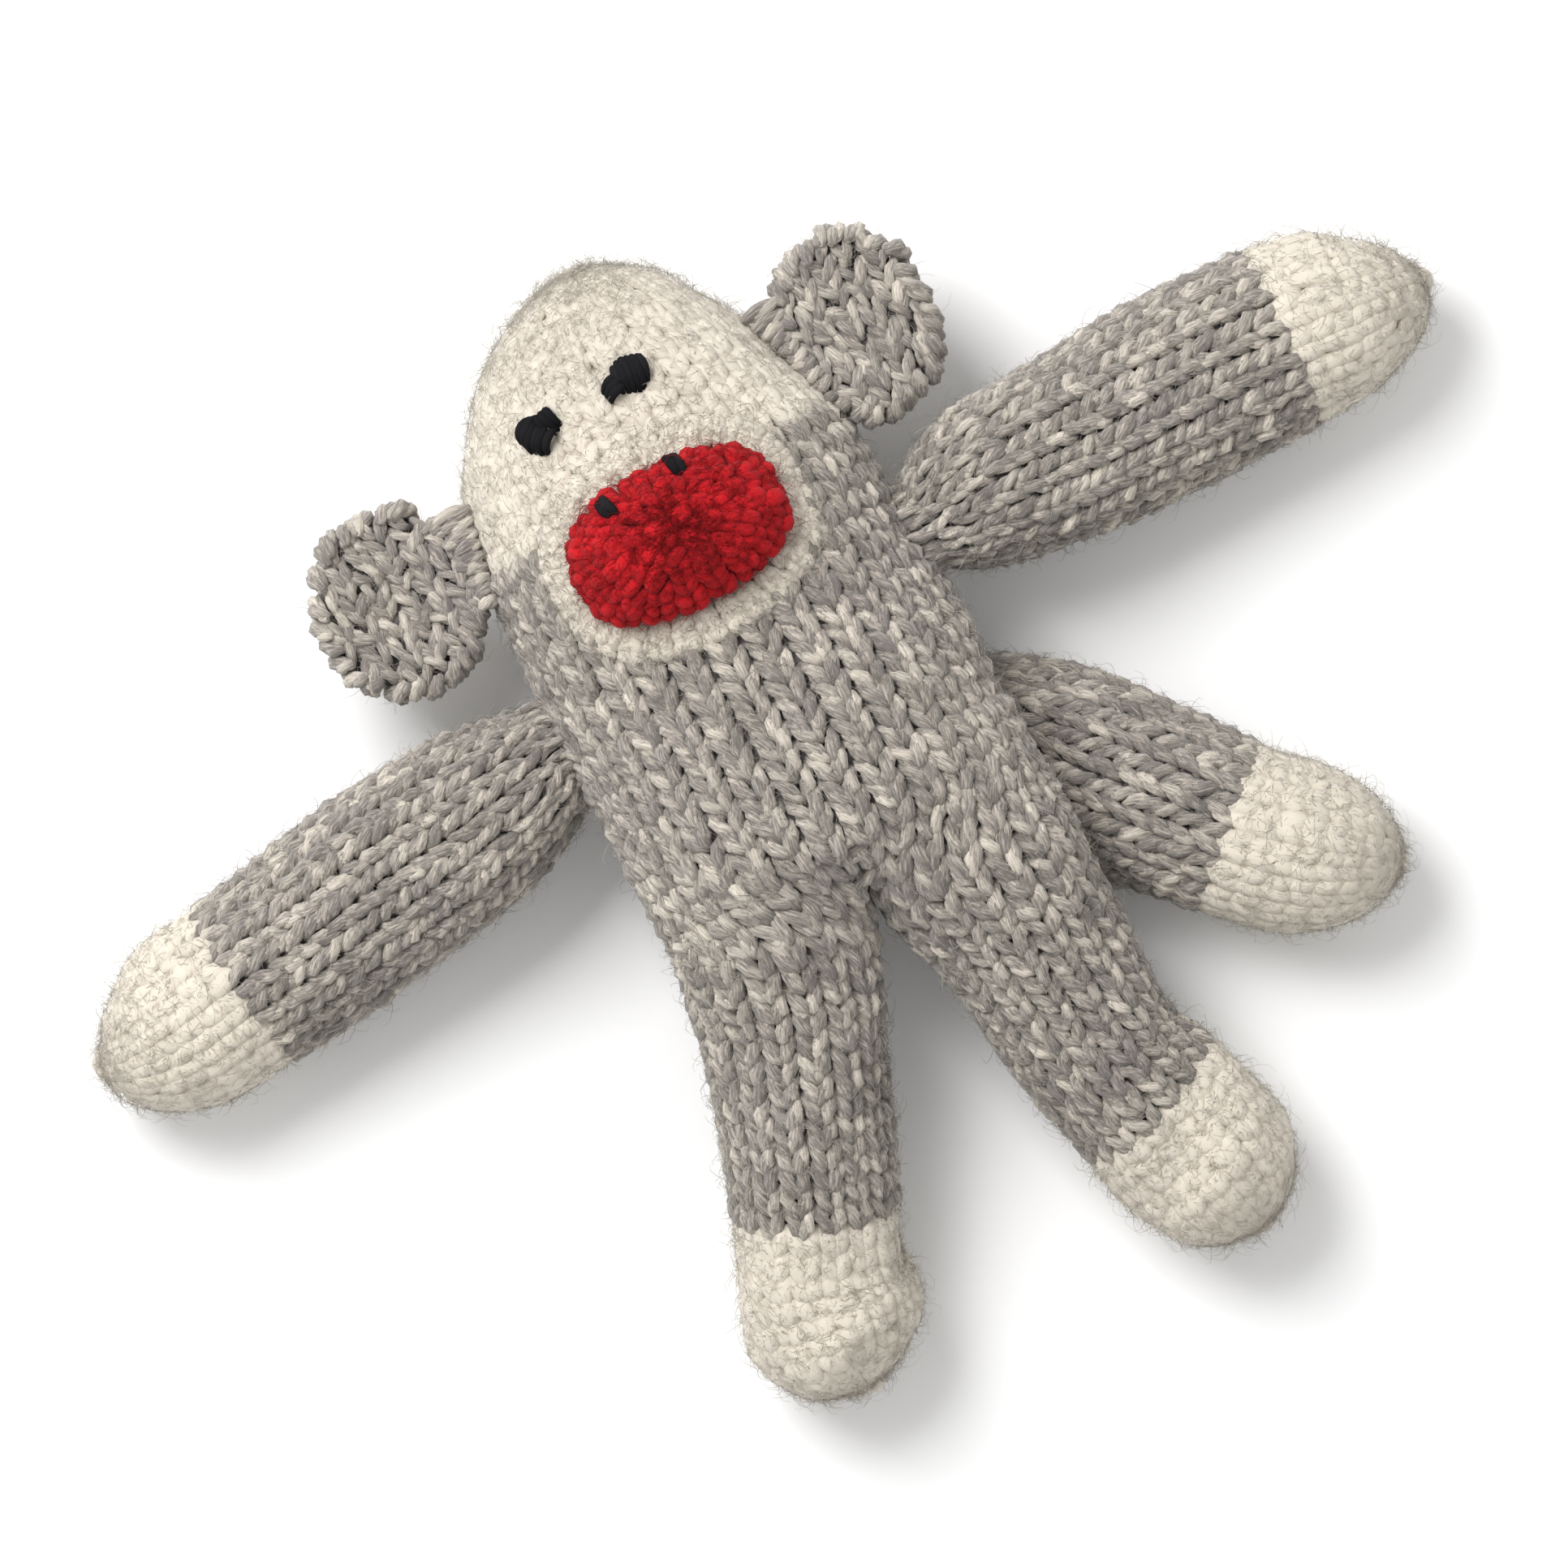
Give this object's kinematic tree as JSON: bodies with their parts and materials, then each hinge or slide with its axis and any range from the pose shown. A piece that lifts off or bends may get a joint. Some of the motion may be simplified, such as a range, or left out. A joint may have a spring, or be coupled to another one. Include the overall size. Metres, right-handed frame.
{
  "type": "stuffed monkey",
  "caption": "Small hand-knitted stuffed monkey lying on its back, with a domed muzzle, disc ears, and sewn-on arms, legs and tail that bend at their roots.",
  "frame": {"origin": "middle of the footprint on the surface that the monkey lies on", "axes": "+Y from the feet to the head, +Z the way the face looks, +X to the monkey's left"},
  "size_m": [0.2094, 0.1594, 0.0476],
  "materials": {
    "grey_marl_wool": "matte hand-knitted wool, grey and cream plies twisted together, with a light halo of fibres",
    "cream_wool": "matte hand-knitted cream wool with a light halo of fibres",
    "red_wool": "matte hand-knitted red wool",
    "black_wool": "matte black embroidery wool",
    "fibrefill": "matte white loose fibre"
  },
  "bodies": {
    "body": {"torso_skin": "grey_marl_wool", "head_skin": "cream_wool", "body_stuffing": "fibrefill", "crotch_seam": "grey_marl_wool", "crown_gather": "cream_wool", "muzzle": "red_wool", "muzzle_stuffing": "fibrefill", "muzzle_seam": "red_wool", "muzzle_rim": "cream_wool", "eye_left": "black_wool", "eye_right": "black_wool", "nostril_left": "black_wool", "nostril_right": "black_wool", "ear_left_seam": "grey_marl_wool", "ear_right_seam": "grey_marl_wool"},
    "ear_left": {"ear_left": "grey_marl_wool"},
    "ear_right": {"ear_right": "grey_marl_wool"},
    "shoulder_left": {"shoulder_left_seam": "grey_marl_wool"},
    "shoulder_right": {"shoulder_right_seam": "grey_marl_wool"},
    "arm_left": {"arm_left_skin": "grey_marl_wool", "hand_left": "cream_wool", "arm_left_stuffing": "fibrefill", "hand_left_gather": "cream_wool"},
    "arm_right": {"arm_right_skin": "grey_marl_wool", "hand_right": "cream_wool", "arm_right_stuffing": "fibrefill", "hand_right_gather": "cream_wool"},
    "leg_left": {"leg_left_skin": "grey_marl_wool", "foot_left": "cream_wool", "leg_left_stuffing": "fibrefill", "foot_left_gather": "cream_wool"},
    "leg_right": {"leg_right_skin": "grey_marl_wool", "foot_right": "cream_wool", "leg_right_stuffing": "fibrefill", "foot_right_gather": "cream_wool"},
    "tail_root": {"tail_seam": "grey_marl_wool"},
    "tail": {"tail_skin": "grey_marl_wool", "tail_tip": "cream_wool", "tail_stuffing": "fibrefill", "tail_gather": "cream_wool"}
  },
  "joints": [
    {"name": "shoulder_left_swing", "type": "hinge", "parent": "body", "child": "shoulder_left", "pos_m": [0.0282, 0.02645, 0.0199], "axis": [0, 0, 1], "range_deg": [-24, 4]},
    {"name": "shoulder_left_lift", "type": "hinge", "parent": "shoulder_left", "child": "arm_left", "pos_m": [0.0282, 0.02645, 0.0199], "axis": [0, -1, 0], "range_deg": [0, 60]},
    {"name": "hip_left_flex", "type": "hinge", "parent": "body", "child": "leg_left", "pos_m": [0.014, -0.01195, 0.0265], "axis": [-1, 0, 0], "range_deg": [-4, 90]},
    {"name": "ear_left_flop", "type": "hinge", "parent": "body", "child": "ear_left", "pos_m": [0.02457, 0.05335, 0.019], "axis": [0, -1, 0], "range_deg": [-30, 40]},
    {"name": "shoulder_right_swing", "type": "hinge", "parent": "body", "child": "shoulder_right", "pos_m": [-0.0301, 0.02225, 0.0199], "axis": [0, 0, -1], "range_deg": [-18, 8]},
    {"name": "shoulder_right_lift", "type": "hinge", "parent": "shoulder_right", "child": "arm_right", "pos_m": [-0.0301, 0.02225, 0.0199], "axis": [0, 1, 0], "range_deg": [0, 60]},
    {"name": "hip_right_flex", "type": "hinge", "parent": "body", "child": "leg_right", "pos_m": [-0.0164, -0.01195, 0.0265], "axis": [-1, 0, 0], "range_deg": [-8, 90]},
    {"name": "ear_right_flop", "type": "hinge", "parent": "body", "child": "ear_right", "pos_m": [-0.02832, 0.04925, 0.019], "axis": [0, 1, 0], "range_deg": [-30, 40]},
    {"name": "tail_swing", "type": "hinge", "parent": "body", "child": "tail_root", "pos_m": [0.0083, 0.01145, 0.0029], "axis": [0, 0, 1], "range_deg": [0, 20]},
    {"name": "tail_drop", "type": "hinge", "parent": "tail_root", "child": "tail", "pos_m": [0.0083, 0.01145, 0.0029], "axis": [0.7121, 0.7021, 0], "range_deg": [0, 60]}
  ]
}
